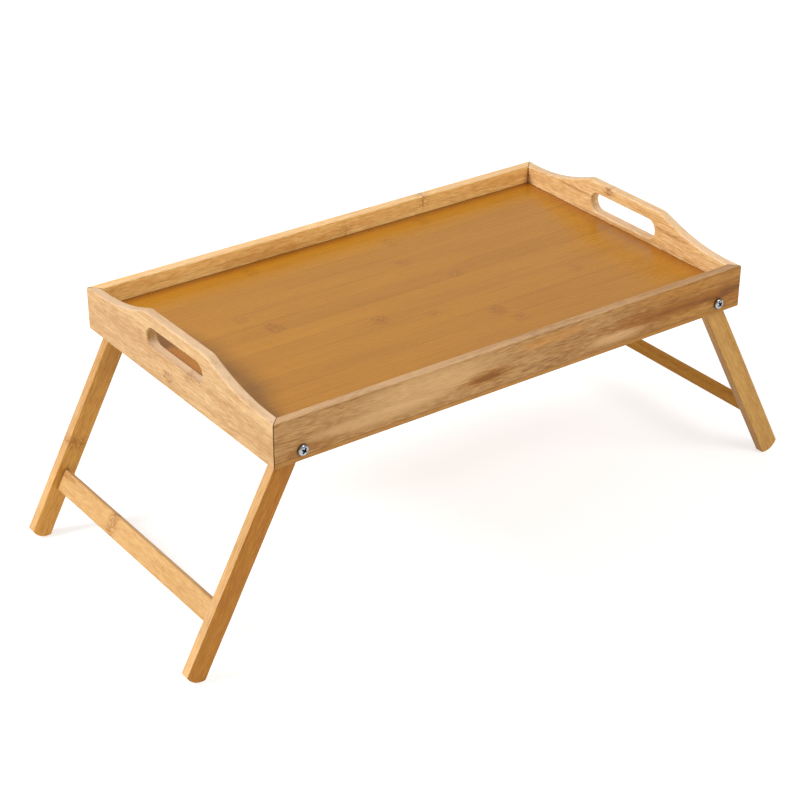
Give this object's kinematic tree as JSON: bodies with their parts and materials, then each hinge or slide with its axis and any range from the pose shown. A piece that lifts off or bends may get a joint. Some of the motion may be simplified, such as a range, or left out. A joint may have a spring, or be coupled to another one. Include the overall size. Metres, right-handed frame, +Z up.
{
  "type": "folding tray table",
  "caption": "Bamboo serving tray with arched end boards, hand slots and folding splayed leg frames, to stand over a lap or on a table.",
  "frame": {"origin": "on the floor under the middle of the tray, with both leg frames open", "axes": "+X along the tray's length to the right, +Z up, the front rail faces -Y"},
  "size_m": [0.663, 0.309, 0.2399],
  "materials": {
    "rail_bamboo": "satin lacquered bamboo, light tan",
    "panel_bamboo": "glossier honey-brown bamboo plywood",
    "leg_bamboo": "satin lacquered bamboo, orange tan",
    "key_bamboo": "unfinished bamboo, hidden in the joint",
    "zinc": "bright zinc plated",
    "nylon": "natural nylon"
  },
  "bodies": {
    "tray": {"front_rail": "rail_bamboo", "back_rail": "rail_bamboo", "left_end_board": "rail_bamboo", "right_end_board": "rail_bamboo", "bottom_panel": "panel_bamboo", "corner_key_front_left": "key_bamboo", "corner_key_back_left": "key_bamboo", "corner_key_front_right": "key_bamboo", "corner_key_back_right": "key_bamboo", "pivot_screw_front_left": "zinc", "pivot_screw_back_left": "zinc", "pivot_screw_front_right": "zinc", "pivot_screw_back_right": "zinc", "spacer_washer_front_left": "nylon", "spacer_washer_back_left": "nylon", "spacer_washer_front_right": "nylon", "spacer_washer_back_right": "nylon", "nut_washer_front_left": "zinc", "nut_washer_back_left": "zinc", "nut_washer_front_right": "zinc", "nut_washer_back_right": "zinc", "lock_nut_front_left": "zinc", "lock_nut_back_left": "zinc", "lock_nut_front_right": "zinc", "lock_nut_back_right": "zinc"},
    "left_leg_frame": {"leg_front_left": "leg_bamboo", "leg_back_left": "leg_bamboo", "left_cross_bar": "leg_bamboo"},
    "right_leg_frame": {"leg_front_right": "leg_bamboo", "leg_back_right": "leg_bamboo", "right_cross_bar": "leg_bamboo"}
  },
  "joints": [
    {"name": "left_leg_fold", "type": "hinge", "parent": "tray", "child": "left_leg_frame", "pos_m": [-0.22341, 0, 0.19203], "axis": [0, -1, 0], "range_deg": [0, 118]},
    {"name": "right_leg_fold", "type": "hinge", "parent": "tray", "child": "right_leg_frame", "pos_m": [0.22341, 0, 0.19203], "axis": [0, 1, 0], "range_deg": [0, 118]}
  ]
}
